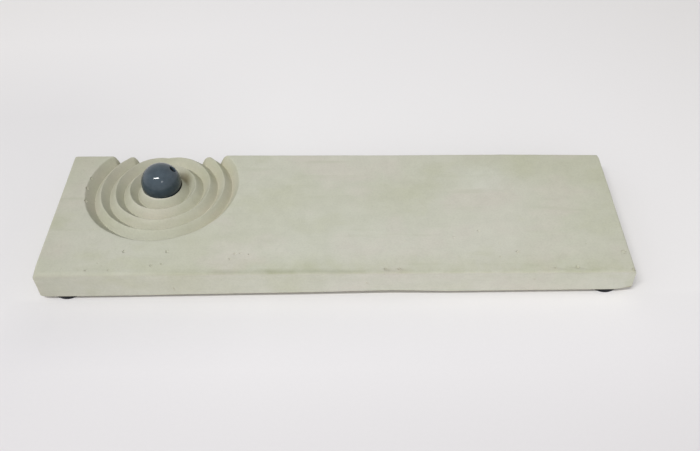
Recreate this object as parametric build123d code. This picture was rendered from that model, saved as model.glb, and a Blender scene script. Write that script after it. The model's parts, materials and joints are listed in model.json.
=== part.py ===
from build123d import *
import math
import os

# Incense stick holder: a cast concrete slab with ripple rings, a drilled bead and four stick-on feet.
# Millimetres. The origin is on the table, under the middle of the slab.
# X runs along the slab, Y points to its back edge and Z points up.

# The cast slab: its underside is level, and its top falls gently from the left end to the right
SLAB_LENGTH = 250.0
SLAB_WIDTH = 76.0
SLAB_THICKNESS_LEFT = 13.8
SLAB_THICKNESS_RIGHT = 11.0
SLAB_CORNER_RADIUS = 1.2
TOP_ARRIS_RADIUS = 0.9
BOTTOM_ARRIS_RADIUS = 0.4

# The ripple rings in the slab's top, centred on the bead: depths are measured down from the top
RIPPLE_FROM_LEFT_END = 45.2
RIPPLE_FROM_BACK_EDGE = 21.2
GROOVE_COUNT = 4
GROOVE_PITCH = 6.57
GROOVE_DEPTH = 4.5
CREST_DEPTH = 0.5
CREST_ROUNDING = 0.4

# The bead and the cup that it lies in
BEAD_DIAMETER = 18.0
BEAD_CENTRE_ABOVE_TOP = 2.1
SEAT_CLEARANCE = 0.2
SEAT_PAST_CREST = 0.35

# The hole for the stick, drilled through the middle of the bead
STICK_HOLE_DIAMETER = 3.2
STICK_HOLE_MOUTH_ROUNDING = 0.35
STICK_LEAN = 46.9
STICK_BEARING = 18.0

# The stick-on feet: a rubber disc on a thin disc of adhesive
FOOT_DIAMETER = 12.7
FOOT_HEIGHT = 1.85
FOOT_RIM_ROUNDING = 0.4
ADHESIVE_THICKNESS = 0.15
ADHESIVE_INSIDE_FOOT = 0.3
FOOT_FROM_LONG_EDGE = 0.2
FOOT_FROM_LEFT_END = 4.2
FOOT_FROM_RIGHT_END = 4.1

# Heights and places that follow from the sizes above
SLAB_BOTTOM = FOOT_HEIGHT + ADHESIVE_THICKNESS
TOP_MIDDLE = SLAB_BOTTOM + (SLAB_THICKNESS_LEFT + SLAB_THICKNESS_RIGHT) / 2
TOP_FALL = math.atan2(SLAB_THICKNESS_LEFT - SLAB_THICKNESS_RIGHT, SLAB_LENGTH)
RIPPLE_X = RIPPLE_FROM_LEFT_END - SLAB_LENGTH / 2
RIPPLE_Y = SLAB_WIDTH / 2 - RIPPLE_FROM_BACK_EDGE
RIPPLE_PLACE = Pos(0, 0, TOP_MIDDLE) * Rot(0, math.degrees(TOP_FALL), 0) * Pos(RIPPLE_X, RIPPLE_Y, 0)
BEAD_CENTRE = (RIPPLE_PLACE * Pos(0, 0, BEAD_CENTRE_ABOVE_TOP)).position
SEAT_RADIUS = BEAD_DIAMETER / 2 + SEAT_CLEARANCE


def stick_direction():
    """The way the stick points out of the bead, as a unit vector."""
    lean = math.radians(STICK_LEAN)
    bearing = math.radians(STICK_BEARING)
    across = math.sin(lean)
    return (across * math.cos(bearing), across * math.sin(bearing), math.cos(lean))


def inner_crest_radius():
    """Radius of the innermost crest: at its height, the cup reaches a little past it."""
    seat_edge = math.sqrt(SEAT_RADIUS**2 - (BEAD_CENTRE_ABOVE_TOP + CREST_DEPTH) ** 2)
    return seat_edge - SEAT_PAST_CREST


def ripple_profile():
    """Section of the ripples, as a face in the XZ plane: X is the radius and Z is 0 at the slab's top.
    The outermost flank runs on, past the height of the crests, up to the top."""
    first = inner_crest_radius()
    zigzag = [(0.0, -CREST_DEPTH), (first, -CREST_DEPTH)]
    for groove in range(GROOVE_COUNT):
        crest = first + groove * GROOVE_PITCH
        zigzag.append((crest + GROOVE_PITCH / 2, -GROOVE_DEPTH))
        zigzag.append((crest + GROOVE_PITCH, -CREST_DEPTH))
    steepness = (GROOVE_DEPTH - CREST_DEPTH) / (GROOVE_PITCH / 2)
    edge = zigzag.pop()[0] + CREST_DEPTH / steepness
    outer = edge + GROOVE_PITCH / 2
    above = GROOVE_DEPTH
    outline = [(0.0, above), *zigzag, (edge, 0.0), (outer, 0.0), (outer, above)]
    face = make_face(Polyline(*outline, close=True))
    crests = []
    for vertex in face.vertices():
        on_crest = vertex.Y > -CREST_DEPTH - 1e-6
        if on_crest and first + 1e-6 < vertex.X < outer - 1e-6:
            crests.append(vertex)
    return fillet(crests, CREST_ROUNDING)


def slab_block():
    """The plain casting: a long block with a level underside, a gently falling top and soft arrises."""
    half = SLAB_LENGTH / 2
    top_left = (-half, SLAB_BOTTOM + SLAB_THICKNESS_LEFT)
    top_right = (half, SLAB_BOTTOM + SLAB_THICKNESS_RIGHT)
    side = make_face(Polyline((-half, SLAB_BOTTOM), (half, SLAB_BOTTOM), top_right, top_left, close=True))
    block = extrude(Plane.XZ * side, SLAB_WIDTH / 2, both=True)
    block = fillet(block.edges().filter_by(Axis.Z), SLAB_CORNER_RADIUS)
    block = fillet(block.faces().sort_by(Axis.Z)[-1].edges(), TOP_ARRIS_RADIUS)
    return fillet(block.faces().sort_by(Axis.Z)[0].edges(), BOTTOM_ARRIS_RADIUS)


def make_slab():
    """The finished slab: the block with its ripple grooves and the cup for the bead."""
    ripples = revolve(Plane.XZ * ripple_profile(), Axis.Z)
    cup = Pos(BEAD_CENTRE) * Sphere(SEAT_RADIUS)
    return slab_block() - RIPPLE_PLACE * ripples - cup


def bead_profile():
    """Half section of the bead beside its hole, as a face in the XZ plane with the hole along Z."""
    ball = BEAD_DIAMETER / 2
    hole = STICK_HOLE_DIAMETER / 2
    mouth = math.sqrt(ball**2 - hole**2)
    wall = Line((hole, -mouth), (hole, mouth))
    outside = ThreePointArc((hole, mouth), (ball, 0), (hole, -mouth))
    face = make_face([wall, outside])
    return fillet(face.vertices(), STICK_HOLE_MOUTH_ROUNDING)


def make_bead():
    """The ball, turned about its stick hole, with both mouths eased, laid in the cup with the hole aslant."""
    ball = revolve(Plane.XZ * bead_profile(), Axis.Z)
    return Plane(origin=BEAD_CENTRE, z_dir=stick_direction()).location * ball


def make_foot():
    """One rubber foot, standing on the table at the origin, with its lower rim rounded."""
    foot = extrude(Circle(FOOT_DIAMETER / 2), FOOT_HEIGHT)
    lower_rim = foot.edges().group_by(Axis.Z)[0]
    return fillet(lower_rim, FOOT_RIM_ROUNDING)


def make_adhesive():
    """The adhesive disc on top of one foot at the origin."""
    disc = extrude(Circle(FOOT_DIAMETER / 2 - ADHESIVE_INSIDE_FOOT), ADHESIVE_THICKNESS)
    return Pos(0, 0, FOOT_HEIGHT) * disc


def foot_places():
    """The middle of each foot, by the corner that it stands under."""
    half_foot = FOOT_DIAMETER / 2
    ends = {
        "left": FOOT_FROM_LEFT_END + half_foot - SLAB_LENGTH / 2,
        "right": SLAB_LENGTH / 2 - FOOT_FROM_RIGHT_END - half_foot,
    }
    long_edge = SLAB_WIDTH / 2 - FOOT_FROM_LONG_EDGE - half_foot
    sides = {"front": -long_edge, "rear": long_edge}
    places = {}
    for side, y in sides.items():
        for end, x in ends.items():
            places[f"{side}_{end}"] = Pos(x, y, 0)
    return places


pieces = {"slab": make_slab(), "bead": make_bead()}
for corner, place in foot_places().items():
    pieces[f"foot_{corner}"] = place * make_foot()
    pieces[f"adhesive_{corner}"] = place * make_adhesive()

os.makedirs("parts", exist_ok=True)
for name, piece in pieces.items():
    export_step(piece, f"parts/{name}.step")
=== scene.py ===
# %% [markdown]
# # An incense stick holder in cast concrete
# The holder is a flat bar of pale concrete with ripple rings near one end, as if a stone had dropped into a
# pond. A dark glazed bead lies loose in a cup in their middle, and a hole through it takes the stick. Four
# rubber feet are stuck under the corners. Each step below makes one piece or one finish. Sizes are in
# millimetres, as a maker would measure them, and MM turns them into Blender's metres.

# %% Load the measured model
import json
import math
import random

import bmesh
import bpy
import numpy as np
from mathutils import Matrix, Vector, noise


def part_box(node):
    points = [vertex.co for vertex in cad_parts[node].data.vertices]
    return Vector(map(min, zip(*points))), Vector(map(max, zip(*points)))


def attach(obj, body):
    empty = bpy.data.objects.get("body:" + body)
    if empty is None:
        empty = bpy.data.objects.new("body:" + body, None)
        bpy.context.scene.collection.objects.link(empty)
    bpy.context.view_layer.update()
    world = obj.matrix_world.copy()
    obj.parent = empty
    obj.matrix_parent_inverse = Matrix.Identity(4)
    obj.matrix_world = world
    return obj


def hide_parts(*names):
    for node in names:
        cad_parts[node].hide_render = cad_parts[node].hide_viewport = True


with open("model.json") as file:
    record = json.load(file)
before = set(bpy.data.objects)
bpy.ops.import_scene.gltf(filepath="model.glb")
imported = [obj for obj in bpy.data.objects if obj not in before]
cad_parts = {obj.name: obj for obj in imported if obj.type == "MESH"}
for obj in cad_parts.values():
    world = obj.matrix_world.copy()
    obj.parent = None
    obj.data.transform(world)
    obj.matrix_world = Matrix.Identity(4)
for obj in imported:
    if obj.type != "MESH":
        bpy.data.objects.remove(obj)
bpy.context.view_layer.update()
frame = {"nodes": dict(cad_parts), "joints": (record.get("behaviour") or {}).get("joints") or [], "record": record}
MM = 0.001
for name in sorted(frame["nodes"]):
    low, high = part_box(name)
    print(name, "from", [round(v / MM, 2) for v in low], "to", [round(v / MM, 2) for v in high])

# %% [markdown]
# ## The falling top
# The casting is thicker at the left end, so its top falls by almost three millimetres over its length. The
# finished mesh could be sheared, but then every depth would shift with it. Instead, all heights on the top
# are measured from one falling plane. The bead's middle is read from the measured model, because the
# ripples are centred on it.

# %% Set the top's height
TOP_MIDDLE = 14.4
TOP_SLOPE = 2.8 / 250.0
BEAD = np.array(frame["joints"][0]["pos_m"]) / MM


def top_height(x):
    """Height of the plain top above the table."""
    return TOP_MIDDLE - TOP_SLOPE * x


BEAD_RISE = BEAD[2] - top_height(BEAD[0])
print("bead centre", BEAD.round(2), "above the top by", round(BEAD_RISE, 2))

# %% [markdown]
# ## The ripples in section
# Cut through the middle, the ripples are a row of V-shaped grooves with narrow crests, which lie a little
# lower than the plain top. The section is drawn as a few corners, each eased by a short curve, because a
# cast edge is never knife sharp. Turning it about the bead's middle gives every ring at once, so one list
# of corners sets them all.

# %% Draw the section
SEAT_RADIUS = 9.45
CUP_STEPS = 9
CUP_STARTS_AT = 0.12
CUP_STOPS_SHORT = 0.03
CUP_RIM = (9.1, -0.25, 0.12)
RINGS = 4
RING_PITCH = 6.57
FIRST_CREST = 8.475
CREST_HEIGHT = -0.45
CREST_EASE = 0.55
GROOVE_FLOOR = -4.5
GROOVE_EASE = 0.45
OUTER_EDGE = 35.17
OUTER_EASE = 0.35
SECTION_END = OUTER_EDGE + 1.2
EASE_STEPS = (0.0, 0.25, 0.5, 0.75, 1.0)


def ease_corner(before, corner, after, reach):
    """Points of the short curve that eases one corner."""
    start = corner + reach * (before - corner) / np.linalg.norm(before - corner)
    end = corner + reach * (after - corner) / np.linalg.norm(after - corner)
    return [(1 - t) ** 2 * start + 2 * t * (1 - t) * corner + t * t * end for t in EASE_STEPS]


def ripple_corners():
    """Radius, height and easing of each corner, from the cup's rim outwards."""
    corners = [CUP_RIM]
    for ring in range(RINGS):
        crest = FIRST_CREST + ring * RING_PITCH
        corners.append((crest + RING_PITCH / 2, GROOVE_FLOOR, GROOVE_EASE))
        corners.append((crest + RING_PITCH, CREST_HEIGHT, CREST_EASE))
    corners[-1] = (OUTER_EDGE, 0.0, OUTER_EASE)
    return corners


def ripple_section():
    """Radius and height of the ripples, from the cup to the plain top."""
    rim_angle = math.acos((BEAD_RISE - CUP_RIM[1]) / SEAT_RADIUS)
    line = []
    for angle in np.linspace(CUP_STARTS_AT, rim_angle - CUP_STOPS_SHORT, CUP_STEPS):
        line.append(np.array((SEAT_RADIUS * math.sin(angle), BEAD_RISE - SEAT_RADIUS * math.cos(angle))))
    corners = ripple_corners()
    ends = [line[-1]] + [np.array(corner[:2]) for corner in corners] + [np.array((SECTION_END, 0.0))]
    for number, (_, _, reach) in enumerate(corners):
        eased = ease_corner(ends[number], ends[number + 1], ends[number + 2], reach)
        if number:
            line.append((line[-1] + eased[0]) / 2)
        line += eased
    return np.array(line)


section = ripple_section()
print("section has", len(section), "points, and the outer edge is at", OUTER_EDGE, "mm")

# %% [markdown]
# ## The slab's outline
# From above, the slab is a long rectangle. Its front corners are crisp, its back corners a little rounder,
# and its back edge bows in towards the right end, where the mould gave way. The outline could be drawn
# point by point. A function that says how far a place lies inside it is shorter, and also gives the line of
# every rounded edge, which is the same outline a little further in.

# %% Trace the outline
HALF_LENGTH = 125.0
HALF_WIDTH = 38.0
FRONT_CORNER = 0.5
BACK_CORNER = 1.2
BACK_EDGE_X = (-45, 20, 80, 125)
BACK_EDGE_IN = (0.0, 0.65, 0.75, 1.5)
PAST_THE_SLAB = 300.0
HALVINGS = 48


def inside_depth(x, y):
    """How far a place lies inside the outline."""
    corner = np.where(y < 0, FRONT_CORNER, BACK_CORNER)
    bow = np.where(y > 0, np.interp(x, BACK_EDGE_X, BACK_EDGE_IN), 0)
    dx = np.abs(x) - (HALF_LENGTH - corner)
    dy = np.abs(y) - (HALF_WIDTH - bow - corner)
    outside = np.hypot(np.maximum(dx, 0), np.maximum(dy, 0)) + np.minimum(np.maximum(dx, dy), 0)
    return corner - outside


def reach_along(angles, inset):
    """Distance along each ray at which the outline is only an inset away, found by halving."""
    low = np.zeros_like(angles)
    high = np.full_like(angles, PAST_THE_SLAB)
    for _ in range(HALVINGS):
        middle = (low + high) / 2
        deep = inside_depth(BEAD[0] + middle * np.cos(angles), BEAD[1] + middle * np.sin(angles)) > inset
        low = np.where(deep, middle, low)
        high = np.where(deep, high, middle)
    return low


four_ways = reach_along(np.radians((0.0, 90.0, 180.0, 270.0)), 0.0)
print("from the bead to the right, back, left and front:", four_ways.round(1), "mm")

# %% [markdown]
# ## Rays from the bead
# The mesh is laid out like a bicycle wheel: rays run from the bead to the outline, so every ring of the
# ripples is a ring of mesh edges and its crest stays crisp. A ray stops where the slab ends, which cuts the
# ripples off at the back edge and leaves the notches there. The rays lie close enough to keep the long
# front edge smooth. Near the back edge the mould held each ring a little further in or out, so two short
# lists give the shift of each ring, one for each side of the bead.

# %% Find the rays
RAY_STEP = math.radians(0.62)
SAME_RAY = math.radians(0.04)
EDGE_STEP = 2.6
BACK_RINGS = (19.0, 21.6, 24.9, 28.2, 31.5, 35.2, 37.5)
LEFT_SHIFTS = (0.0, -0.2, 1.05, -0.6, 0.7, -0.6, 0.0)
RIGHT_SHIFTS = (0.0, -0.2, 0.85, -0.05, -0.15, -0.05, 0.0)


def spaced_rays():
    """Angles once round the bead, close enough for the outline."""
    found = [0.0]
    while found[-1] < 2 * math.pi:
        here = found[-1]
        ahead = here + RAY_STEP
        reach = reach_along(np.array([here, ahead]), 0.0)
        ways = [[math.cos(here), math.cos(ahead)], [math.sin(here), math.sin(ahead)]]
        chord = np.hypot(*np.diff(reach * ways)[:, 0])
        found.append(here + RAY_STEP * min(1.0, EDGE_STEP / chord))
    return list(np.array(found[:-1]) * (2 * math.pi / found[-1]))


def notch_rays():
    """Angles at which the corners of the section meet the back edge."""
    back = HALF_WIDTH - BEAD[1]
    found = []
    for ring in section[:, 0]:
        right = ring + np.interp(ring, BACK_RINGS, RIGHT_SHIFTS)
        left = ring + np.interp(ring, BACK_RINGS, LEFT_SHIFTS)
        if back < min(left, right):
            found += [math.asin(back / right), math.pi - math.asin(back / left)]
    return found


def find_rays():
    """All the rays in order, without those that nearly repeat the one before."""
    together = sorted(spaced_rays() + notch_rays())
    kept = [together[0]]
    for angle in together[1:]:
        if angle - kept[-1] > SAME_RAY:
            kept.append(angle)
    return np.array(kept)


rays = find_rays()
print(len(rays), "rays")

# %% [markdown]
# ## The bends of a casting poured by hand
# Nothing poured by hand is quite true. Slow noise bends the rings by a tenth of a millimetre or so, they
# sit a little to the right of the bead, and on one side the cup's rim comes closer to it. The lower front
# edge lifts where the mould was uneven, and the arrises, the slab's rounded edges, are softer at the front
# left and sharper at the back. A displace modifier could do some of this, but each bend has its own place,
# so each is a small function of the plan.

# %% Bend the casting
LONG_BEND = (0.16, 9.0, 1.0)
SHORT_BEND = (0.1, 3.4, 2.0)
BENDS_FROM = 9.5
BENDS_GROW_OVER = 4.0
RINGS_TO_RIGHT = 0.3
BACK_ZONE = 4.0
CLOSE_ANGLE = math.radians(224)
CLOSE_RIM = 0.2
CLOSE_RIM_AT = (0.0, 9.1, 12.0)
LOWER_EDGE_X = (-125, -121, -95, -55, -14, 25, 48, 110, 125)
LOWER_EDGE_LIFT = (0.6, 0.1, 0.0, 0.42, 0.7, 1.35, 0.3, 0.2, 0.0)
LIFT_FADES_OVER = 14.0
UPPER_ARRIS = 1.05
SHARPER_AT_BACK = 0.5
SOFTER_IN_FRONT = 0.1
SOFTER_FRONT_LEFT = 1.1
ARRIS_WAVER = (0.12, 21.0, 4.0)
LOWER_ARRIS = 0.4
SOFTER_LOWER_RIGHT = 2.2


def waver(x, y, layer):
    """Smooth noise over the plan: a layer has a strength, a wavelength and a seed."""
    strength, size, seed = layer
    flat = [noise.noise(Vector((a / size, b / size, seed))) for a, b in zip(np.ravel(x), np.ravel(y))]
    return strength * np.array(flat).reshape(np.shape(x))


def rise(value, start, over):
    """A straight rise from 0 at start to 1 a little further on."""
    return np.clip((value - start) / over, 0, 1)


def soft_step(value):
    """A smooth rise from 0 to 1."""
    held = np.clip(value, 0, 1)
    return held * held * (3 - 2 * held)


def place_along(radius):
    """Places in the plan at a distance from the bead along every ray."""
    return BEAD[0] + radius * np.cos(rays), BEAD[1] + radius * np.sin(rays)


def close_side():
    """How much each ray points to where the rim comes close."""
    return np.maximum(np.cos(rays - CLOSE_ANGLE), 0)


def bent_rings():
    """Radius of every point of the section along every ray, with its bends."""
    radius = np.repeat(section[:, :1], len(rays), axis=1)
    x, y = place_along(radius)
    bend = waver(x, y, LONG_BEND) + waver(x, y, SHORT_BEND) + RINGS_TO_RIGHT * np.cos(rays)
    right = np.interp(radius, BACK_RINGS, RIGHT_SHIFTS)
    left = np.interp(radius, BACK_RINGS, LEFT_SHIFTS)
    at_back = soft_step((y - HALF_WIDTH + BACK_ZONE) / BACK_ZONE) * np.where(np.cos(rays) > 0, right, left)
    close = -CLOSE_RIM * close_side() * np.interp(radius, CLOSE_RIM_AT, (0.0, 1.0, 0.0))
    bent = radius + rise(radius, BENDS_FROM, BENDS_GROW_OVER) * bend + at_back + close
    return np.maximum.accumulate(bent, axis=0)


def lower_lift(x, y):
    """How far the underside is lifted at the front edge, fading out under the slab."""
    fade = 1 - rise(y, -HALF_WIDTH, LIFT_FADES_OVER)
    return np.interp(x, LOWER_EDGE_X, LOWER_EDGE_LIFT) * fade * fade


def arris_sizes(x, y):
    """Radius of the upper and of the lower arris round the outline."""
    at_back = rise(y, -HALF_WIDTH, 2 * HALF_WIDTH)
    at_front = 1 - rise(y, -HALF_WIDTH, 6.0)
    front_left = rise(-x, 40.0, 70.0)
    softer = at_front * (SOFTER_IN_FRONT + SOFTER_FRONT_LEFT * front_left)
    upper = UPPER_ARRIS - SHARPER_AT_BACK * at_back + softer + waver(x, y, ARRIS_WAVER)
    right = rise(x, 115.0, 10.0)
    return upper, LOWER_ARRIS + SOFTER_LOWER_RIGHT * right * right


rings = bent_rings()
print("outer edge from", rings[-1].min().round(2), "to", rings[-1].max().round(2), "mm off the bead")

# %% [markdown]
# ## The worn top
# The height of the top is the falling plane plus the relief of the bent section. Where the rings are cut
# off at the back edge, the crests are worn round, more so on the right, and the grooves have broken out
# deeper, more so on the left. The cup's rim stands up a little on the side where it comes close to the
# bead. This wear could be sculpted by hand, but as a function it follows the rings wherever they are bent.

# %% Wear the top
RAISED_RIM = 0.75
RAISED_RIM_AT = (5.0, 8.6, 9.6, 11.6)
NOTCH_FLOOR_LEFT = -7.0
NOTCH_FLOOR_RIGHT = -6.1
NOTCH_RINGS = (24.0, 25.2, 28.0, 29.0, 31.0, 32.0, 35.2)
NOTCH_ROUNDNESS = (1.0, 2.8, 2.8, 1.6, 1.4, 2.2, 2.2)
NOTCH_ZONE = 2.2
NOTCH_GROWS_OVER = 1.8
WORN_CREST_LEFT = -0.5
WORN_CREST_RIGHT = -0.9
WORN_RINGS = (24.0, 25.2, 30.5, 34.0)
TOP_WAVE = (0.07, 34.0, 3.0)


def worn_notch(straight, relief):
    """Relief of the broken notches at the back edge."""
    on_right = np.cos(rays) > 0
    worn = np.interp(straight, WORN_RINGS, (0, 1, 1, 0))
    crest = np.where(on_right, WORN_CREST_RIGHT, WORN_CREST_LEFT) * worn
    roundness = np.interp(straight, NOTCH_RINGS, NOTCH_ROUNDNESS)
    share = np.clip(relief / GROOVE_FLOOR, 0, 1) ** roundness
    return crest + (np.where(on_right, NOTCH_FLOOR_RIGHT, NOTCH_FLOOR_LEFT) - crest) * share


def top_at(radius):
    """Height of the slab's top at a distance from the bead along every ray."""
    x, y = place_along(radius)
    straight = [np.interp(r, rings[:, ray], section[:, 0]) for ray, r in enumerate(radius)]
    relief = np.interp(straight, section[:, 0], section[:, 1])
    at_back = soft_step((y - HALF_WIDTH + NOTCH_ZONE) / NOTCH_GROWS_OVER)
    relief = relief + at_back * (worn_notch(straight, relief) - relief)
    relief = relief + RAISED_RIM * close_side() * np.interp(radius, RAISED_RIM_AT, (0, 1, 1, 0))
    return top_height(x) + relief + waver(x, y, TOP_WAVE) * rise(radius, BENDS_FROM, BENDS_GROW_OVER)


at_outer_edge = top_at(np.full_like(rays, OUTER_EDGE))
print("top at the outer edge from", at_outer_edge.min().round(2), "to", at_outer_edge.max().round(2), "mm")

# %% [markdown]
# ## The slab's skin
# Every ray carries the same list of points: from the cup's floor over the ripples, along the plain top,
# round the upper arris, down the wall, round the lower arris and back along the underside. They lie closer
# where the shape turns. Joining each ray to the next gives one closed skin of four-sided faces. A block
# with the rings cut out by Booleans would also work, but its edges would not follow the rings.

# %% Shape the slab
UNDERSIDE = 2.0
FLAT_SHARES = (0.04, 0.1, 0.18, 0.28, 0.4, 0.53, 0.66, 0.78, 0.88, 0.95)
ARRIS_SHARES = (1.0, 0.8, 0.55, 0.34, 0.16, 0.05, 0.0)
WALL_SHARES = (0.04, 0.12, 0.25, 0.4, 0.55, 0.7, 0.84, 0.94, 1.0)
UNDER_SHARES = (0.97, 0.9, 0.78, 0.6, 0.4, 0.2, 0.05, 0.0)
WALL_SWELL = 0.08
WALL_WAVE = (1.0, 17.0, 6.0)
SAME_POINT = 0.002 * MM
NO_LENGTH = 0.001 * MM


def slab_points():
    """Rows of the slab's points, from the cup round to the underside."""
    edge_x, edge_y = place_along(reach_along(rays, 0.0))
    upper, lower = arris_sizes(edge_x, edge_y)
    shoulder = reach_along(rays, upper)
    rows = []

    def add(radius, height):
        x, y = place_along(radius)
        rows.append(np.stack([x, y, height], axis=1))

    add(0 * rays, np.full_like(rays, BEAD[2] - SEAT_RADIUS))
    for ring in rings:
        held = np.minimum(ring, shoulder)
        add(held, top_at(held))
    start = np.minimum(rings[-1], shoulder)
    for share in FLAT_SHARES:
        radius = start + (shoulder - start) * share
        add(radius, top_at(radius))
    for share in ARRIS_SHARES:
        radius = reach_along(rays, upper * share)
        drop = upper - np.sqrt(upper**2 - (upper - upper * share) ** 2)
        add(radius, top_at(radius) - drop)
    wall_top = rows[-1][:, 2]
    wall_foot = UNDERSIDE + lower_lift(edge_x, edge_y) + lower
    for share in WALL_SHARES:
        height = wall_top + (wall_foot - wall_top) * share
        swell = WALL_SWELL * (1 + waver(edge_x + edge_y, height * 2, WALL_WAVE)) * math.sin(math.pi * share)
        add(reach_along(rays, swell), height)
    for share in reversed(ARRIS_SHARES[:-1]):
        drop = np.sqrt(lower**2 - (lower - lower * share) ** 2)
        add(reach_along(rays, lower * share), wall_foot - drop)
    foot = np.hypot(rows[-1][:, 0] - BEAD[0], rows[-1][:, 1] - BEAD[1])
    for share in UNDER_SHARES:
        x, y = place_along(foot * share)
        add(foot * share, UNDERSIDE + lower_lift(x, y))
    return rows


def put_in_scene(name, data):
    """A new object in the scene, made of a mesh, a camera or a lamp."""
    made = bpy.data.objects.new(name, data)
    bpy.context.scene.collection.objects.link(made)
    return made


def finish_mesh(name, points, faces):
    """A smoothly shaded object from points in millimetres and faces."""
    mesh = bpy.data.meshes.new(name)
    mesh.from_pydata([tuple(np.array(p) * MM) for p in points], [], faces)
    skin = bmesh.new()
    skin.from_mesh(mesh)
    bmesh.ops.remove_doubles(skin, verts=skin.verts, dist=SAME_POINT)
    bmesh.ops.dissolve_degenerate(skin, edges=skin.edges, dist=NO_LENGTH)
    bmesh.ops.recalc_face_normals(skin, faces=skin.faces)
    for face in skin.faces:
        face.smooth = True
    skin.to_mesh(mesh)
    skin.free()
    return put_in_scene(name, mesh)


def skin_from_rows(name, rows, closed=False):
    """Joins rows of points: a closed skin also joins its last row to its first."""
    count = len(rows[0])
    points = [point for row in rows for point in row]
    faces = []
    for step in range(len(rows) if closed else len(rows) - 1):
        a, b = step * count, (step + 1) % len(rows) * count
        faces += [(a + t, b + t, b + (t + 1) % count, a + (t + 1) % count) for t in range(count)]
    return finish_mesh(name, points, faces)


slab = skin_from_rows("concrete_slab", slab_points())
print("slab has", len(slab.data.polygons), "faces")

# %% [markdown]
# ## Pinholes and nicks
# Air bubbles caught against the mould leave pinholes in cast concrete, and its sharp edges lose small
# grains. They could be painted, but a real hollow catches the light from every side, so each one is cut.
# The cutters are rough little lumps, half sunk in the surface. The larger ones have places of their own,
# and the rest are strewn over the plain top by seeded chance, so they fall in the same places each time.

# %% Strew the pinholes
TOP_PINHOLES = (
    (-89.0, -24.6, 0.62), (-70.7, -24.8, 0.68), (-76.2, -32.7, 0.56), (-72.0, -31.8, 0.42),
    (-103.1, -35.2, 0.32), (-93.5, -35.0, 0.32), (-41.8, -26.2, 0.5), (-39.5, -25.9, 0.42),
    (-35.6, -26.8, 0.45), (-43.5, -29.3, 0.42), (122.2, -26.5, 0.85), (77.7, -26.1, 0.72),
    (101.2, -35.0, 0.62), (92.0, -35.3, 0.42), (21.7, -35.4, 0.52), (27.5, -35.5, 0.48),
    (62.6, -13.8, 0.5), (51.5, -17.3, 0.46), (70.8, -21.1, 0.42), (70.1, -29.1, 0.42),
    (124.0, -36.4, 0.6),
)
TOP_SWELL = 1.25
TOP_LIFT = 0.05
WALL_PINHOLES = ((-67.2, -9.2, 0.45), (-46.6, -3.3, 0.22), (14.0, -6.1, 0.35), (83.5, -4.0, 0.35))
WALL_LIFT = 0.1
EDGE_NICKS = ((-114.4, 15.6, 1.0), (-113.3, 7.2, 0.85), (-112.2, 22.0, 0.7), (-46.2, 22.4, 0.55))
NICK_INSIDE_EDGE = 0.75
NICK_DEPTH = 0.3
STRAY_PINHOLES = 70
STRAY_SIZES = (0.22, 0.36)
STRAY_LIFT = 0.12
STRAY_X = 122
STRAY_Y = 35.5
STRAYS_APART = 2.5
STRAYS_FROM_RINGS = 2.0
LUMP_STRETCH = (0.8, 1.25)
LUMP_ROUGHNESS = 0.25


def rough_lump(cutters, place, size, chance):
    """Adds one rough lump to the cutters."""
    made = bmesh.ops.create_icosphere(cutters, subdivisions=2, radius=1.0)["verts"]
    seed = chance.uniform(0, 90)
    stretch = Vector((chance.uniform(*LUMP_STRETCH), chance.uniform(*LUMP_STRETCH), 1.0))
    for vert in made:
        swell = 1 + LUMP_ROUGHNESS * noise.noise(vert.co * 1.6 + Vector((seed, 0, 0)))
        vert.co = (vert.co * swell * stretch * size + Vector(place)) * MM


def pinhole_cutters():
    """Lumps for the pinholes and the nicks, and the count of pinholes in the top."""
    chance = random.Random(11)
    cutters = bmesh.new()
    taken = []
    for x, y, size in TOP_PINHOLES:
        rough_lump(cutters, (x, y, top_height(x) + TOP_LIFT), size * TOP_SWELL, chance)
        taken.append((x, y))
    for x, height, size in WALL_PINHOLES:
        rough_lump(cutters, (x, -HALF_WIDTH - WALL_LIFT, top_height(x) + height), size, chance)
    for x, y, size in EDGE_NICKS:
        away = (OUTER_EDGE - NICK_INSIDE_EDGE) / math.dist((x, y), BEAD[:2])
        spot = BEAD[:2] + (np.array((x, y)) - BEAD[:2]) * away
        rough_lump(cutters, (*spot, top_height(spot[0]) - NICK_DEPTH), size, chance)
    while len(taken) < len(TOP_PINHOLES) + STRAY_PINHOLES:
        x, y = chance.uniform(-STRAY_X, STRAY_X), chance.uniform(-STRAY_Y, STRAY_Y)
        apart = min(math.dist((x, y), spot) for spot in taken) > STRAYS_APART
        if apart and math.dist((x, y), BEAD[:2]) > OUTER_EDGE + STRAYS_FROM_RINGS:
            rough_lump(cutters, (x, y, top_height(x) + STRAY_LIFT), chance.uniform(*STRAY_SIZES), chance)
            taken.append((x, y))
    return cutters, len(taken)


cutters, holes = pinhole_cutters()
print(holes, "pinholes in the top,", len(WALL_PINHOLES), "in the front wall and", len(EDGE_NICKS), "nicks")

# %% [markdown]
# ## Cutting them all at once
# One Boolean takes all the lumps away together, which is quicker than one for each and leaves a closed
# skin. Smooth shading would smear the shade of each little hollow over the faces round it, so edges where
# the surface turns sharply are marked as sharp.

# %% Cut the pinholes
SHARP = math.radians(38)


def cut_away(piece, cutters):
    """Takes the cutters away from a piece, for good."""
    mesh = bpy.data.meshes.new("pinhole_cutters")
    cutters.to_mesh(mesh)
    cutters.free()
    lumps = put_in_scene("pinhole_cutters", mesh)
    cut = piece.modifiers.new("pinholes", "BOOLEAN")
    cut.operation = "DIFFERENCE"
    cut.solver = "EXACT"
    cut.object = lumps
    bpy.context.view_layer.update()
    finished = piece.evaluated_get(bpy.context.evaluated_depsgraph_get())
    cut_mesh = bpy.data.meshes.new_from_object(finished)
    piece.modifiers.clear()
    piece.data = cut_mesh
    bpy.data.objects.remove(lumps)


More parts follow.
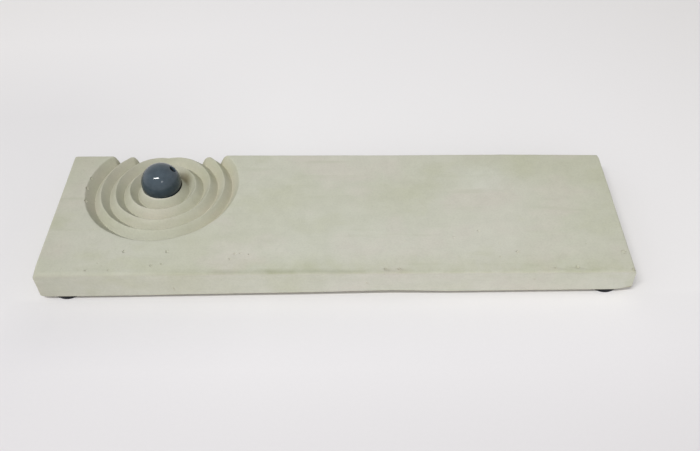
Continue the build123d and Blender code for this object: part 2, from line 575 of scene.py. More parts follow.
def mark_sharp_edges(piece):
    """Marks the edges where the surface turns sharply, and counts the open ones."""
    skin = bmesh.new()
    skin.from_mesh(piece.data)
    loose = sum(1 for edge in skin.edges if len(edge.link_faces) != 2)
    for edge in skin.edges:
        edge.smooth = len(edge.link_faces) == 2 and edge.calc_face_angle(0.0) < SHARP
    skin.to_mesh(piece.data)
    skin.free()
    return loose


cut_away(slab, cutters)
loose = mark_sharp_edges(slab)
print("the slab now has", len(slab.data.polygons), "faces and", loose, "open edges")

# %% [markdown]
# ## Numbers that the finish reads
# Each point of the slab gets a number called hollow: 0 on the plain top, a fifth on a crest and 1 at the
# bottom of a groove, and the painted shade over the ripples follows it. Three more numbers mark a brown
# smudge with painted shadow in the inner groove, where the stick leans and the bead's shadow falls, the
# rounded upper edge at the front, which gets painted shade, and the faces that look down to the table,
# which get painted shade. Masks could be painted on an unwrapped mesh, but numbers on the points follow
# the shape exactly.

# %% Measure the hollows
CREST_SHARE = 0.2
CREST_DEPTH = 0.4
GROOVE_DEPTH = 4.1
RIPPLES_PAST_EDGE = 0.5
RIPPLES_ABOVE = UNDERSIDE + 2.0
EDGE_KEPT_CLEAN = (0.2, 0.5)
# A brown smudge with painted shadow in the inner groove, where the bead casts its shadow.
SHADOW_SMUDGE_PLACE = (9.0, 8.3)
SHADOW_SMUDGE_REACH = 6.0
SHADOW_SMUDGE_DEPTH = 3.0
ARRIS_BACK = 3.2 - HALF_WIDTH
# Faces that look down to the table get painted shade.
UNDERSIDE_SHADE_GAIN = 1.5


def write_numbers(piece, name, values):
    """Gives every point of a piece one number under a name."""
    attribute = piece.data.attributes.new(name, "FLOAT", "POINT")
    attribute.data.foreach_set("value", values.astype(np.float32))


def points_of(piece):
    """The points of a piece in millimetres, as three lists: x, y and z."""
    flat = np.zeros(len(piece.data.vertices) * 3)
    piece.data.vertices.foreach_get("co", flat)
    return flat.reshape(-1, 3).T / MM


def mark_hollows(piece):
    """Writes how deep each point lies in the ripples, and how near it is to the smudge with painted shadow."""
    x, y, z = points_of(piece)
    depth = top_height(x) - z
    hollow = CREST_SHARE * np.clip(depth / CREST_DEPTH, 0, 1)
    hollow = hollow + (1 - CREST_SHARE) * rise(depth, CREST_DEPTH, GROOVE_DEPTH)
    from_bead = np.hypot(x - BEAD[0], y - BEAD[1])
    hollow *= (from_bead < OUTER_EDGE + RIPPLES_PAST_EDGE) & (z > RIPPLES_ABOVE)
    hollow *= rise(inside_depth(x, y), *EDGE_KEPT_CLEAN)
    write_numbers(piece, "hollow", hollow)
    # Brown smudge and painted shadow beside the bead.
    from_shadow_smudge = np.hypot(x - BEAD[0] - SHADOW_SMUDGE_PLACE[0], y - BEAD[1] - SHADOW_SMUDGE_PLACE[1])
    write_numbers(piece, "shadow_smudge", soft_step(1 - from_shadow_smudge / SHADOW_SMUDGE_REACH) * soft_step(depth / SHADOW_SMUDGE_DEPTH))
    return hollow


def mark_edges(piece):
    """Writes which points lie on the rounded front edge, and which look down to the table."""
    y = points_of(piece)[1]
    facing = np.zeros(len(y) * 3)
    piece.data.vertices.foreach_get("normal", facing)
    upward = np.clip(facing[2::3], 0, 1)
    # The rounded front edge gets painted shade, which dims the light it catches from the top and the front.
    write_numbers(piece, "arris", 4 * upward * (1 - upward) * (y < ARRIS_BACK))
    # Painted shade on the faces that look down to the table.
    write_numbers(piece, "underside_shade", soft_step(-UNDERSIDE_SHADE_GAIN * facing[2::3]))


hollow = mark_hollows(slab)
mark_edges(slab)
print("points in the ripples:", int((hollow > 0.05).sum()))

# %% [markdown]
# ## Tools for the finishes
# Every finish below is a small tree of shader nodes. The first helpers add one node, start a material and
# make a noise of a given size. All patterns come from noise in the object's own space: no picture is used,
# and a pattern stays in place from every side.

# %% Helpers that add nodes
def fill(tree, node, inputs):
    """Fills the inputs of a node with values or with other nodes' outputs."""
    for key, value in inputs.items():
        if isinstance(value, bpy.types.NodeSocket):
            tree.links.new(value, node.inputs[key])
        else:
            node.inputs[key].default_value = value
    return node


def add_node(tree, kind, inputs=None, **settings):
    """Adds a node, sets its options and fills its inputs."""
    made = tree.nodes.new("ShaderNode" + kind)
    for key, value in settings.items():
        setattr(made, key, value)
    return fill(tree, made, inputs or {})


def new_finish(name):
    """A new material, with its tree, its shader and the object's own coordinates."""
    material = bpy.data.materials.new(name)
    material.use_nodes = True
    tree = material.node_tree
    coords = add_node(tree, "TexCoord").outputs["Object"]
    return material, tree, tree.nodes["Principled BSDF"], coords


def grain(tree, coords, size, detail=3.0, rough=0.5, stretch=(1, 1, 1)):
    """Noise with a wavelength of size millimetres, longer along a stretched axis."""
    if stretch != (1, 1, 1):
        scale = tuple(1 / s for s in stretch)
        coords = add_node(tree, "Mapping", {"Vector": coords, "Scale": scale}).outputs["Vector"]
    inputs = {"Vector": coords, "Scale": 1 / (size * MM), "Detail": detail, "Roughness": rough}
    return add_node(tree, "TexNoise", inputs).outputs["Fac"]


def places(tree, coords):
    """The three coordinates, one by one: along the slab, across it and up."""
    return add_node(tree, "SeparateXYZ", {"Vector": coords}).outputs


def from_place(tree, coords, place):
    """Distance from a place that is given in millimetres."""
    inputs = {0: coords, 1: tuple(v * MM for v in place)}
    return add_node(tree, "VectorMath", inputs, operation="DISTANCE").outputs["Value"]


def number(tree, name):
    """The number of that name which the points of a piece carry."""
    return add_node(tree, "Attribute", attribute_name=name).outputs["Fac"]


print("helpers for nodes are ready")

# %% [markdown]
# ## Tools for ranges and colours
# These helpers turn a noise into a range of values, mark a zone by its place in millimetres, and mix or
# tint a colour, so that a finish reads like a recipe. A tint multiplies a colour, as a thin wash of paint
# does, so the patterns below it stay visible.

# %% Helpers that mix colours
def spread(tree, value, seen, made=(0.0, 1.0)):
    """Turns values in the range seen into values in the range made, held at the ends."""
    inputs = {"Value": value, "From Min": seen[0], "From Max": seen[1], "To Min": made[0], "To Max": made[1]}
    return add_node(tree, "MapRange", inputs).outputs["Result"]


def zone(tree, place, start, end, made=(0.0, 1.0)):
    """The same for a place or a distance, with start and end in millimetres."""
    return spread(tree, place, (start * MM, end * MM), made)


def reckon(tree, how, first, *others):
    """Adds or multiplies several values, or finds the largest of them."""
    for other in others:
        first = add_node(tree, "Math", {0: first, 1: other}, operation=how).outputs[0]
    return first


def product(tree, *values):
    """The product of several values."""
    return reckon(tree, "MULTIPLY", *values)


def grey(level):
    """A colour with no hue."""
    return (level, level, level)


def colours(tree, value, stops):
    """A colour for each value, from a list of places and colours."""
    ramp = add_node(tree, "ValToRGB", {"Fac": value})
    band = ramp.color_ramp
    while len(band.elements) < len(stops):
        band.elements.new(0.5)
    for element, (place, colour) in zip(band.elements, stops):
        element.position = place
        element.color = (*colour, 1)
    return ramp.outputs["Color"]


def opaque(colour):
    """A plain colour with its alpha, or a node's output as it is."""
    return (*colour, 1) if isinstance(colour, tuple) else colour


def mix(tree, share, a, b, how="MIX"):
    """Mixes colour b into colour a by a share from 0 to 1."""
    inputs = {0: share, 6: opaque(a), 7: opaque(b)}
    return add_node(tree, "Mix", inputs, data_type="RGBA", blend_type=how).outputs[2]


def tint(tree, colour, wash, share=1.0):
    """Multiplies a colour by a wash, by a share from 0 to 1."""
    return mix(tree, share, colour, wash, "MULTIPLY")


def bump(tree, height, strength, depth, under=None):
    """A bump with a depth in millimetres, which may lie over another one."""
    inputs = {"Height": height, "Strength": strength, "Distance": depth * MM}
    if under:
        inputs["Normal"] = under
    return add_node(tree, "Bump", inputs).outputs["Normal"]


def dress(tree, shader, colour, roughness, specular, normal=None):
    """Gives a shader its colour, its roughness, its shine and its bump."""
    inputs = {"Base Color": colour, "Roughness": roughness, "Specular IOR Level": specular}
    if normal:
        inputs["Normal"] = normal
    fill(tree, shader, inputs)


print("helpers for colours are ready")

# %% [markdown]
# ## Concrete
# The casting is a pale grey-green, with clouds that go a little rosy or olive, faint streaks along the pour
# and a fine sandy grain. One noise could give a plain mottle, but real concrete varies at several sizes at
# once, so each size has its own noise, from clouds as wide as a thumb down to grains of sand.

# %% Mix the concrete
CLOUDS = ((0.32, (0.552, 0.556, 0.456)), (0.5, (0.580, 0.585, 0.497)), (0.66, (0.606, 0.604, 0.528)))
ROSY = (0.614, 0.590, 0.526)
OLIVE = (0.538, 0.547, 0.428)
STREAK = (0.480, 0.492, 0.390)
MOTTLE_WASH = ((0.3, grey(0.95)), (0.7, grey(1.005)))
SAND_WASH = ((0.28, (0.94, 0.94, 0.935)), (0.6, grey(1.0)))


def plain_concrete(tree, coords, mottle, sand):
    """Colour of the bare casting, before its edges, its smudges and its ripples."""
    cloud = grain(tree, coords, size=46)
    patch = grain(tree, coords, size=19, detail=4.0, rough=0.55, stretch=(1.6, 1.0, 1.0))
    streak = grain(tree, coords, size=5.0, stretch=(9.0, 1.0, 1.0))
    colour = colours(tree, cloud, CLOUDS)
    colour = mix(tree, spread(tree, patch, (0.52, 0.68), (0.0, 0.75)), colour, ROSY)
    colour = mix(tree, spread(tree, patch, (0.46, 0.32), (0.0, 0.7)), colour, OLIVE)
    colour = tint(tree, colour, colours(tree, mottle, MOTTLE_WASH))
    colour = tint(tree, colour, colours(tree, sand, SAND_WASH))
    return mix(tree, spread(tree, streak, (0.60, 0.72), (0.0, 0.4)), colour, STREAK)


print("concrete is mixed from", len(CLOUDS) + 3, "colours")

# %% [markdown]
# ## Edges and smudges of the casting
# The casting is darker towards its ends, and it has a pale bloom of lime near the back. Along its front
# edge lie patchy olive smudges, where the mould oil stayed. Each is a zone of the slab with a wash of its
# own, and a noise breaks its border, so that it looks soaked in and not painted on.

# %% Tone the edges
ENDS_WASH = (
    (0.0, (0.85, 0.848, 0.815)), (0.1, (0.905, 0.905, 0.885)), (0.2, (0.965, 0.965, 0.955)),
    (0.42, (1.0, 1.003, 1.0)), (0.86, (0.985, 0.985, 0.965)), (1.0, (0.95, 0.95, 0.912)),
)
BACK_FROM = -10.0
BACK_WASH = ((0.0, grey(1.0)), (1.0, (0.965, 0.962, 0.945)))
BLOOM_PLACE = (68.0, 21.0, 13.6)
BLOOM_REACH = (14.0, 7.0)
BLOOM_WASH = (1.05, 1.055, 1.085)
TOP_STARTS = (-37.9, -37.4)
FRONT_ZONE = (-25.0, -37.5)
FRONT_ALONG = (-90.0, -30.0)
FRONT_WASH = (0.892, 0.90, 0.82)
OIL_BAND = (-34.5, -36.6)
OIL_STARTS = (-85.0, -64.0)
OIL_ENDS = (0.0, 50.0)
LITTLE_OIL = 0.15
OIL_WASH = (0.82, 0.82, 0.79)
# Wall tone, a little pink at the left, with painted shade that keeps the walls darker than the top and painted
# light at the right end.
WALL_TONE_AND_SHADE = (
    (0.0, (0.955, 0.945, 0.965)), (0.3, (0.965, 0.955, 0.96)),
    (0.85, (0.97, 0.965, 0.975)), (1.0, (1.03, 1.03, 1.08)),
)
# Painted shade on the rounded front edge.
ARRIS_SHADE = (0.87, 0.855, 0.855)
# Painted shade for the faces that look down to the table.
UNDERSIDE_SHADE_WASH = (0.74, 0.67, 0.56)


def tone_edges(tree, coords, colour, mottle):
    """Adds the darker ends, the bloom, the smudges, and painted light and shade on the walls and edges."""
    along, across = places(tree, coords)[:2]
    ends = zone(tree, along, -HALF_LENGTH, HALF_LENGTH)
    colour = tint(tree, colour, colours(tree, ends, ENDS_WASH))
    colour = tint(tree, colour, colours(tree, zone(tree, across, BACK_FROM, HALF_WIDTH), BACK_WASH))
    bloom = zone(tree, from_place(tree, coords, BLOOM_PLACE), *BLOOM_REACH)
    bloom = product(tree, bloom, spread(tree, mottle, (0.35, 0.55), (0.5, 1.0)))
    colour = tint(tree, colour, BLOOM_WASH, bloom)
    on_top = zone(tree, across, *TOP_STARTS)
    patchy = spread(tree, grain(tree, coords, size=7, detail=4.0, rough=0.6), (0.40, 0.60), (0.4, 1.0))
    front = product(tree, zone(tree, across, *FRONT_ZONE), zone(tree, along, *FRONT_ALONG), on_top, patchy)
    colour = tint(tree, colour, FRONT_WASH, front)
    smear = grain(tree, coords, size=8, detail=4.0, rough=0.6, stretch=(2.5, 1.0, 1.0))
    smear = spread(tree, smear, (0.36, 0.60), (0.2, 1.0))
    oil = zone(tree, along, *OIL_STARTS, made=(LITTLE_OIL, 1.0))
    oil = product(tree, oil, zone(tree, along, *OIL_ENDS, made=(1.0, LITTLE_OIL)))
    oil = product(tree, on_top, zone(tree, across, *OIL_BAND), oil, smear)
    colour = tint(tree, colour, OIL_WASH, oil)
    # Painted shade on the rounded front edge.
    colour = tint(tree, colour, ARRIS_SHADE, number(tree, "arris"))
    # The walls get painted shade, and painted light at the right end.
    colour = mix(tree, on_top, tint(tree, colour, colours(tree, ends, WALL_TONE_AND_SHADE)), colour)
    # Painted shade underneath.
    return tint(tree, colour, UNDERSIDE_SHADE_WASH, number(tree, "underside_shade"))


print("the edges get", len(ENDS_WASH), "tones along the slab and", len(WALL_TONE_AND_SHADE), "on the wall")

# %% [markdown]
# ## Painted shade in the ripples, and the surface
# The last washes read the numbers on the points. They paint shade over the ripples, darkest on the crests
# and less at the bottom of the grooves, warmer to the right of the bead and cooler towards the front, and
# the brown smudge with painted shadow. The surface is matt, so its roughness is high. The bump is small,
# because the pinholes and bends are real shapes and only the sand is left for it.

# %% Finish the slab
# Painted shade over the ripples, darkest on the crests and lighter at the groove bottoms to offset the shade that
# falls there.
RIPPLE_SHADE_WASH = ((0.0, grey(1.0)), (CREST_SHARE, (0.875, 0.87, 0.828)), (1.0, (0.968, 0.955, 0.905)))
WARM_ALONG = (BEAD[0] + 10, BEAD[0] + 26)
WARM_WASH = (1.03, 1.0, 0.985)
COOL_ACROSS = (BEAD[1] - 21, BEAD[1] - 30)
COOL_WASH = (1.02, 1.03, 1.09)
# Brown wash that also paints the bead's shadow darker.
SHADOW_SMUDGE_WASH = (0.66, 0.60, 0.53)
MATT = (0.95, 0.82)


def shade_ripples(tree, coords, colour):
    """Adds the painted shade in the ripples, its warm and cool sides, and the smudge with painted shadow."""
    along, across = places(tree, coords)[:2]
    hollow_here = number(tree, "hollow")
    # Painted shade in the ripples, by their depth.
    colour = tint(tree, colour, colours(tree, hollow_here, RIPPLE_SHADE_WASH))
    colour = tint(tree, colour, WARM_WASH, product(tree, hollow_here, zone(tree, along, *WARM_ALONG)))
    colour = tint(tree, colour, COOL_WASH, product(tree, hollow_here, zone(tree, across, *COOL_ACROSS)))
    # Brown smudge and painted shadow beside the bead.
    return tint(tree, colour, SHADOW_SMUDGE_WASH, number(tree, "shadow_smudge"))


def concrete_finish():
    """Matt cast concrete with clouds, streaks, sand and smudges, and painted shade on its ripples and edges."""
    material, tree, shader, coords = new_finish("cast_concrete")
    mottle = grain(tree, coords, size=5.5, detail=4.0, rough=0.6)
    sand = grain(tree, coords, size=0.8, detail=2.0, rough=0.6)
    colour = plain_concrete(tree, coords, mottle, sand)
    colour = tone_edges(tree, coords, colour, mottle)
    colour = shade_ripples(tree, coords, colour)
    sandy = bump(tree, sand, strength=0.12, depth=0.2)
    rolling = bump(tree, mottle, strength=0.1, depth=0.8, under=sandy)
    dress(tree, shader, colour, spread(tree, mottle, (0.3, 0.7), MATT), specular=0.3, normal=rolling)
    return material


slab.data.materials.clear()
slab.data.materials.append(concrete_finish())
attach(slab, "base")
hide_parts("slab")

# %% [markdown]
# ## The bead
# The bead is a ball turned about its own hole. Its half section is drawn once, round the outside, over one
# eased mouth, through the hole and over the other, and spun. A sphere with a hole cut in it would need a
# Boolean and give ragged mouths. The hole's direction is read from the measured model, where it slants up
# and to the right, as the stick would lean. Each point gets a number that says whether it lies in the hole,
# which is matt and bare of glaze, and painted near black as shade.

# %% Turn the bead
BEAD_RADIUS = 8.99
HOLE_RADIUS = 1.6
MOUTH_EASE = 0.35
GLAZED_TO = 8.2
TURNS = 144
OUTSIDE_STEPS = 64
MOUTH_STEPS = 7
WALL_STEPS = 14


def bead_outline():
    """Radius and height of the bead's half section, as a closed line."""
    upper = math.sqrt((BEAD_RADIUS - MOUTH_EASE) ** 2 - (HOLE_RADIUS + MOUTH_EASE) ** 2)
    start = math.atan2(HOLE_RADIUS + MOUTH_EASE, upper)
    round_outside = np.linspace(start, math.pi - start, OUTSIDE_STEPS)
    outside = [(BEAD_RADIUS * math.sin(a), BEAD_RADIUS * math.cos(a)) for a in round_outside]
    bend = np.linspace(math.pi / 2 - start, math.pi, MOUTH_STEPS)
    mouth = [(HOLE_RADIUS + MOUTH_EASE * (1 + math.cos(a)), upper + MOUTH_EASE * math.sin(a)) for a in bend]
    lower_mouth = [(radius, -height) for radius, height in mouth]
    wall = [(HOLE_RADIUS, height) for height in np.linspace(-upper, upper, WALL_STEPS)[1:-1]]
    return outside + lower_mouth[1:] + wall + mouth[:0:-1]


def turned_piece(name, outline, closed=False):
    """Spins a line of radius and height about the vertical."""
    turns = np.linspace(0, 2 * math.pi, TURNS, endpoint=False)
    rows = [[(r * math.cos(turn), r * math.sin(turn), height) for turn in turns] for r, height in outline]
    return skin_from_rows(name, rows, closed)


bead = turned_piece("drilled_bead", bead_outline(), closed=True)
x, y, z = points_of(bead)
past_mouth = soft_step((HOLE_RADIUS + MOUTH_EASE - np.hypot(x, y)) / MOUTH_EASE)
write_numbers(bead, "in_hole", past_mouth * soft_step(GLAZED_TO - np.abs(z)))
stick_way = Vector(frame["record"]["mounts"][0]["axis"])
lean = stick_way.to_track_quat("Z", "Y").to_matrix().to_4x4()
bead.data.transform(Matrix.Translation(Vector(BEAD) * MM) @ lean)
print("bead has", len(bead.data.polygons), "faces, its hole along", [round(v, 3) for v in stick_way])

# %% [markdown]
# ## Glaze
# The bead's glaze is a dark slate blue, glossy enough to show the lamp as a small bright bar. It has soft
# blotches and a few darker freckles, and painted shade makes its lower half darker. The bright bar could be
# painted on, but then it would stay in place when the bead tilts.

# %% Glaze the bead
BLOTCHES = ((0.3, (0.031, 0.049, 0.066)), (0.5, (0.040, 0.061, 0.080)), (0.7, (0.052, 0.075, 0.096)))
FRECKLE = (0.026, 0.036, 0.046)
# Painted shade on the bead's lower half.
PAINTED_LOWER_SHADE = (0.014, 0.022, 0.025)
PAINTED_LOWER_SHADE_HEIGHTS = (BEAD[2] - 3.5, BEAD[2] + 6.5)
PAINTED_LOWER_SHADE_SHARE = 0.55
# Painted shade: the inside of the hole is coloured near black.
PAINTED_HOLE_SHADE = (0.006, 0.008, 0.010)
GLOSS = (0.06, 0.09)


def glaze_finish():
    """Dark slate-blue glaze with soft blotches and freckles, and painted shade low down and in the hole."""
    material, tree, shader, coords = new_finish("bead_glaze")
    blotch = grain(tree, coords, size=3.65)
    freckle = grain(tree, coords, size=0.55, detail=2.0, rough=0.5)
    colour = colours(tree, blotch, BLOTCHES)
    colour = mix(tree, spread(tree, freckle, (0.64, 0.72), (0.0, 0.5)), colour, FRECKLE)
    # Painted shade, darkest at the bottom of the bead.
    painted_lower_shade = zone(tree, places(tree, coords)["Z"], *PAINTED_LOWER_SHADE_HEIGHTS, made=(PAINTED_LOWER_SHADE_SHARE, 0.0))
    colour = mix(tree, painted_lower_shade, colour, PAINTED_LOWER_SHADE)
    in_hole = number(tree, "in_hole")
    # Painted shade inside the hole.
    colour = mix(tree, in_hole, colour, PAINTED_HOLE_SHADE)
    roughness = reckon(tree, "MAXIMUM", spread(tree, blotch, (0.3, 0.7), GLOSS), in_hole)
    dress(tree, shader, colour, roughness, specular=0.45)
    return material


bead.data.materials.append(glaze_finish())
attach(bead, "bead")
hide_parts("bead")

# %% [markdown]
# ## The rubber feet
# Each foot is a moulded rubber button with a flat sole, a rounded lower rim and sides that draw in a little
# towards the adhesive, so that it comes out of its mould. It could be a cylinder with a bevel modifier, but
# turning it like the bead, from an open line that starts and ends on its axis, gives each rounding its own
# size. Every foot sits exactly where the measured foot sits.

# %% Draw the foot and its rubber
FOOT_RADIUS = 6.35
FOOT_HEIGHT = 1.85
LOWER_ROUNDING = 0.4
UPPER_ROUNDING = 0.2
DRAW_IN = 0.1
RIM_STEPS = 7
RUBBER_COLOURS = ((0.4, (0.004, 0.005, 0.008)), (0.75, (0.014, 0.015, 0.018)))
SATIN = (0.5, 0.72)


def foot_outline():
    """Radius and height of a foot, from the middle of its sole to the middle of its top."""
    turns = np.linspace(0, math.pi / 2, RIM_STEPS)
    heel = FOOT_RADIUS - LOWER_ROUNDING
    neck = FOOT_RADIUS - DRAW_IN - UPPER_ROUNDING
    shoulder = FOOT_HEIGHT - UPPER_ROUNDING
    rim = [
        (FOOT_RADIUS - LOWER_ROUNDING * (1 - math.sin(a)), LOWER_ROUNDING * (1 - math.cos(a))) for a in turns
    ]
    edge = [(neck + UPPER_ROUNDING * math.cos(a), shoulder + UPPER_ROUNDING * math.sin(a)) for a in turns]
    sole = [(share * heel, 0.0) for share in (0.0, 0.35, 0.7)]
    top = [(share * neck, FOOT_HEIGHT) for share in (0.7, 0.35, 0.0)]
    return sole + rim + edge + top


def rubber_finish():
    """Black rubber: satin, with a fine mould grain and a trace of grey dust."""
    material, tree, shader, coords = new_finish("foot_rubber")
    dust = grain(tree, coords, size=2.2, detail=4.0, rough=0.6)
    mould_grain = grain(tree, coords, size=0.25, detail=2.0, rough=0.5)
    colour = colours(tree, dust, RUBBER_COLOURS)
    roughness = spread(tree, dust, (0.35, 0.7), SATIN)
    moulded = bump(tree, mould_grain, strength=0.2, depth=0.06)
    dress(tree, shader, colour, roughness, specular=0.25, normal=moulded)
    return material


rubber = rubber_finish()
for name in sorted(frame["nodes"]):
    if name.startswith("foot_"):
        low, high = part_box(name)
        foot = turned_piece("rubber_" + name, foot_outline())
        foot.data.transform(Matrix.Translation(((low.x + high.x) / 2, (low.y + high.y) / 2, low.z)))
        foot.data.materials.append(rubber)
        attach(foot, "base")
        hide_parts(name)
        print(foot.name, "stands at", [round(v / MM, 1) for v in (low + high) / 2])

# %% [markdown]
# ## The adhesive discs
# Between each foot and the slab is a thin disc of milky adhesive. Its shape in the measured model is
# already right, so the measured disc stays and only gets a finish: a cloudy film with tiny trapped bubbles.
# Voronoi cells make the bubbles, because each cell is a small round spot.

# %% Finish the adhesive
FILM_COLOURS = ((0.35, (0.30, 0.29, 0.255)), (0.65, (0.40, 0.39, 0.35)))
BUBBLE = (0.52, 0.51, 0.48)
BUBBLE_SIZE = 0.35
FILM_GLOSS = (0.35, 0.5)


def adhesive_finish():
    """A milky film with clouds and tiny bubbles."""
    material, tree, shader, coords = new_finish("foot_adhesive")
    cloud = grain(tree, coords, size=1.8)
    cells = {"Vector": coords, "Scale": 1 / (BUBBLE_SIZE * MM)}
    bubbles = add_node(tree, "TexVoronoi", cells).outputs["Distance"]
    colour = colours(tree, cloud, FILM_COLOURS)
    colour = mix(tree, spread(tree, bubbles, (0.12, 0.3), (0.5, 0.0)), colour, BUBBLE)
    dress(tree, shader, colour, spread(tree, cloud, (0.35, 0.65), FILM_GLOSS), specular=0.5)
    return material


film = adhesive_finish()
for name, node in frame["nodes"].items():
    if name.startswith("adhesive_"):
        node.data.materials.clear()
        node.data.materials.append(film)

# %% [markdown]
# ## Camera
# The camera stands in front of the slab and looks down on it at about 45 degrees. It could be placed by
# eye. Here its place was solved from the slab's corners and edges, in a frame that lies on the falling top,
# so it is turned with that top.

# %% Place the camera
IMAGE_WIDTH = 700
FOCAL_PIXELS = 800.6
SENSOR = 36.0
PITCH = 0.7918
YAW = -0.01295
ROLL = -0.0157
CAMERA_PLACE = Vector((10.14, -255.58, 248.83)) * MM


def camera_matrix():
    """World matrix of a camera that looks down by PITCH, with a slight turn and roll."""
    fall = Matrix.Translation((0, 0, TOP_MIDDLE * MM)) @ Matrix.Rotation(math.atan(TOP_SLOPE), 4, "Y")
    turned = Matrix.Rotation(-YAW, 4, "Z") @ Matrix.Rotation(math.pi / 2 - PITCH, 4, "X")
    return fall @ Matrix.Translation(CAMERA_PLACE) @ turned @ Matrix.Rotation(ROLL, 4, "Z")


camera_data = bpy.data.cameras.new("camera")
camera_data.sensor_width = SENSOR
camera_data.lens = SENSOR * FOCAL_PIXELS / IMAGE_WIDTH
camera_data.clip_start = 0.01
camera = put_in_scene("camera", camera_data)
camera.matrix_world = camera_matrix()
bpy.context.scene.camera = camera
print("camera at", [round(v, 3) for v in camera.matrix_world.translation])

# %% [markdown]
# ## Floor
# The holder stands on a plain sheet of pale paper, one big plane with a faint grain. Light and shade are
# painted into its colour: it is brightest round the holder and falls off away from it and towards the
# front, with painted shade before the front edge and at the left, and painted light in a brighter strip
# just under that edge. Far away the paper melts into the tone of the room, so no horizon shows in low
# views. Light Path tells what the camera sees from the light that falls on the holder, which stays as it is.

# %% Lay the floor
FLOOR_SIZE = 30.0
FLOOR_MIDDLE = (-20.0, 20.0, 0.0)
PAPER_REACH = (40.0, 320.0)
# The paper's tone is painted light: brightest round the holder, falling off away from it.
PAPER_PAINTED_FALLOFF = ((0.0, (0.875, 0.865, 0.87)), (0.45, (0.862, 0.848, 0.853)), (1.0, (0.81, 0.793, 0.788)))
NEAR_REACH = (-130.0, -40.0)
# Painted shade towards the front.
NEAR_PAINTED_SHADE = (
    (0.0, (0.865, 0.86, 0.87)), (0.37, (0.915, 0.91, 0.92)), (0.71, (0.968, 0.965, 0.975)), (1.0, grey(1.0)),
)
FIBRE_WASH = ((0.3, grey(0.99)), (0.7, grey(1.0)))
# Painted shade before the front edge and at the left, and painted light in a strip under the front edge.
PAINTED_SHADE_BEFORE_EDGE = (("Y", -75, -50), ("Y", -37, -39.8), ("X", 120, -20, (0.2, 1.0)), ("X", -140, -120))
PAINTED_SHADE_AT_LEFT = (("Y", -120, -60), ("Y", 160, 90), ("X", -30, -150))
PAINTED_LIGHT_UNDER_EDGE = (("X", -127, -120), ("X", 127, 120), ("Y", -37.2, -36.2), ("Y", -30, -33))
PAINTED_LIGHT_AND_SHADES = (((0.92, 0.92, 0.925), PAINTED_SHADE_BEFORE_EDGE), ((0.9, 0.9, 0.905), PAINTED_SHADE_AT_LEFT), (grey(1.13), PAINTED_LIGHT_UNDER_EDGE))
HAZE_REACH = (350.0, 1800.0)
ROOM_TINT = (1.0, 0.995, 0.99, 1.0)
ROOM_SEEN = 0.9


def seen_directly(tree):
    """1 for what the camera sees, also in mirrors and through glass, and 0 for light that falls."""
    path = add_node(tree, "LightPath").outputs
    kinds = ("Is Camera Ray", "Is Glossy Ray", "Is Transmission Ray")
    return reckon(tree, "MAXIMUM", *[path[kind] for kind in kinds])


def paper_colour(tree, coords, away):
    """Pale paper with painted light and shade: brightest round the holder, with soft painted shades."""
    place = places(tree, coords)
    # Painted light and shade on the paper.
    tone = colours(tree, zone(tree, away, *PAPER_REACH), PAPER_PAINTED_FALLOFF)
    tone = tint(tree, tone, colours(tree, zone(tree, place["Y"], *NEAR_REACH), NEAR_PAINTED_SHADE))
    for wash, limits in PAINTED_LIGHT_AND_SHADES:
        zones = [zone(tree, place[axis], *span) for axis, *span in limits]
        tone = tint(tree, tone, wash, product(tree, *zones))
    fibre = grain(tree, coords, size=1.5, detail=3.0, rough=0.6)
    return tint(tree, tone, colours(tree, fibre, FIBRE_WASH))


def paper_finish():
    """Matt paper that melts into the room's tone in the distance."""
    material, tree, shader, coords = new_finish("pale_paper")
    away = from_place(tree, coords, FLOOR_MIDDLE)
    dress(tree, shader, paper_colour(tree, coords, away), roughness=0.9, specular=0.2)
    haze = add_node(tree, "Emission", {"Color": ROOM_TINT, "Strength": ROOM_SEEN}).outputs[0]
    far = product(tree, zone(tree, away, *HAZE_REACH), seen_directly(tree))
    surface = add_node(tree, "MixShader", {0: far, 1: shader.outputs[0], 2: haze}).outputs[0]
    fill(tree, tree.nodes["Material Output"], {"Surface": surface})
    return material


half = FLOOR_SIZE / 2
corners = [(-half, -half, 0), (half, -half, 0), (half, half, 0), (-half, half, 0)]
floor_mesh = bpy.data.meshes.new("floor")
floor_mesh.from_pydata(corners, [], [(0, 1, 2, 3)])
floor_mesh.materials.append(paper_finish())
floor = put_in_scene("floor", floor_mesh)
print("floor is", FLOOR_SIZE, "m wide")

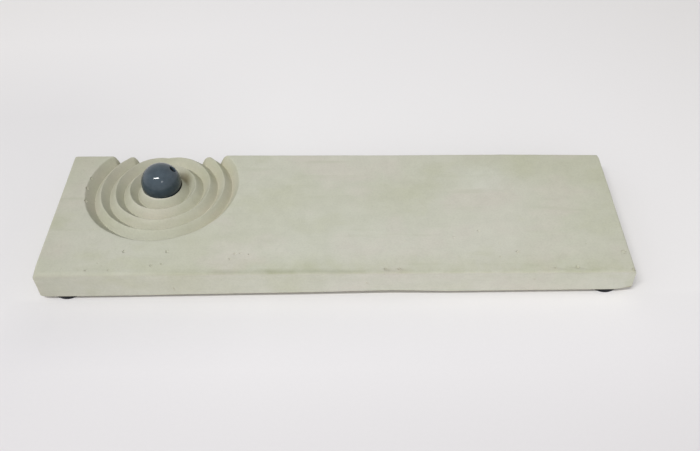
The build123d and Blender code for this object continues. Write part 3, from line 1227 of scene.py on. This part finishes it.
# %% [markdown]
# ## Light
# The light is that of a small studio. Pale walls to the left, to the right and in front light the front
# face as strongly as the top. A long bar lamp hangs high in front and to the left, and gives the bright bar
# on the bead, the soft shadow beside it and the dark walls of the ripples. A small faint lamp near the
# camera adds the second spot on the bead. The camera and mirror-like reflections see the room as an even
# pale tone, so no dark patch shows behind the holder in other views.

# %% Light the room
ROOM_LEVEL = 0.09
ROOM_WALLS = (("X", -1.0, 0.65), ("X", 1.0, 0.49), ("Y", -1.0, 0.63))
BAR_UP = 2.4
BAR_WAY = Vector((-0.30, -0.47, 1.0))
BAR_SIZE = (0.62 * BAR_UP, 0.085 * BAR_UP)
BAR_WATTS = 50.0
SPOT_WAY = Vector((0.327, -0.683, 0.654))
SPOT_SIZE = (0.18, 0.18)
SPOT_WATTS = 0.4


def studio_world():
    """A pale room whose light comes from its left, right and front walls."""
    world = bpy.data.worlds.new("studio")
    world.use_nodes = True
    tree = world.node_tree
    way = places(tree, add_node(tree, "TexCoord").outputs["Generated"])
    walls = [spread(tree, way[axis], (0.0, side), (0.0, level)) for axis, side, level in ROOM_WALLS]
    light = reckon(tree, "ADD", ROOM_LEVEL, *walls)
    strength = add_node(tree, "Mix", {0: seen_directly(tree), 2: light, 3: ROOM_SEEN}).outputs[0]
    fill(tree, tree.nodes["Background"], {"Color": ROOM_TINT, "Strength": strength})
    return world


def hang_lamp(name, place, size, watts, aim):
    """A rectangular lamp with its long side level, facing an aim."""
    data = bpy.data.lights.new(name, "AREA")
    data.shape = "RECTANGLE"
    data.size, data.size_y = size
    data.energy = watts
    facing = (Vector(aim) - Vector(place)).normalized()
    level = Vector((1, 0, 0))
    side = (level - facing * level.dot(facing)).normalized()
    turn = Matrix((side, -facing.cross(side), -facing)).transposed().to_4x4()
    put_in_scene(name, data).matrix_world = Matrix.Translation(place) @ turn


bpy.context.scene.world = studio_world()
bead_place = Vector(BEAD) * MM
bar_place = bead_place + BAR_WAY * BAR_UP
hang_lamp("bar_lamp", bar_place, BAR_SIZE, BAR_WATTS, bar_place - Vector((0, 0, 1)))
hang_lamp("small_lamp", bead_place + SPOT_WAY, SPOT_SIZE, SPOT_WATTS, bead_place)
bpy.context.scene.view_settings.view_transform = "Standard"
print("bar lamp at", [round(v, 2) for v in bar_place])
